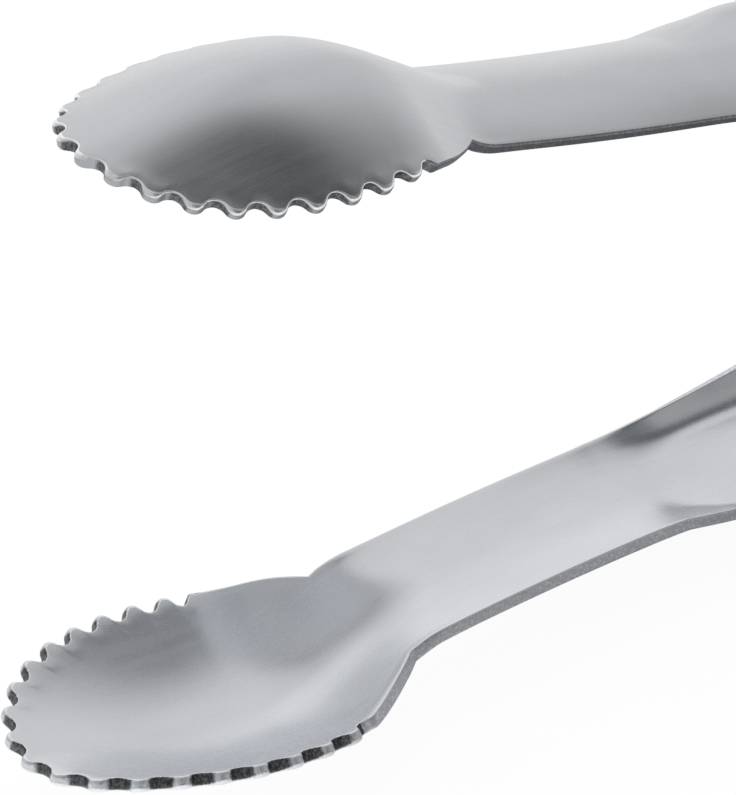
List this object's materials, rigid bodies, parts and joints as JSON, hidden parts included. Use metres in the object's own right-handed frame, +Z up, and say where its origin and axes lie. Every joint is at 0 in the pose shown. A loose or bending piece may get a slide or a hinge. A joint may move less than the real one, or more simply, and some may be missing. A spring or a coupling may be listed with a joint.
{
  "type": "serving tongs",
  "caption": "Locking serving tongs: two sprung, stamped steel arms that end in shallow bowls with scalloped rims, and a pull tab that locks them shut.",
  "frame": {"origin": "middle of the footprint, on the surface that the tongs lie on", "axes": "+Z up; the bowls point towards -X and the pivot axis is along Y; the lower arm lies on Z = 0"},
  "size_m": [0.2254, 0.0334, 0.078],
  "materials": {
    "arm_steel": "fine lengthwise brushing",
    "pin_steel": "turned and tumbled",
    "spring_steel": "drawn wire",
    "tab_steel": "fine lengthwise brushing"
  },
  "bodies": {
    "lower": {"lower_arm": "arm_steel", "pivot_rivet": "pin_steel", "torsion_spring": "spring_steel"},
    "upper": {"upper_arm": "arm_steel"},
    "lock": {"lock_slide": "tab_steel", "lock_pin": "pin_steel"}
  },
  "joints": [
    {"name": "arm_hinge", "type": "hinge", "parent": "lower", "child": "upper", "pos_m": [0.07761, 0, 0.01144], "axis": [0, -1, 0], "range_deg": [0, 19.9], "stiffness_Nm_per_rad": 0.25, "springref_deg": -45.84, "deforming": ["torsion_spring"]},
    {"name": "lock_pull", "type": "slide", "parent": "lower", "child": "lock", "axis": [0.9858, 0, -0.168], "range_m": [0, 0.009]}
  ]
}
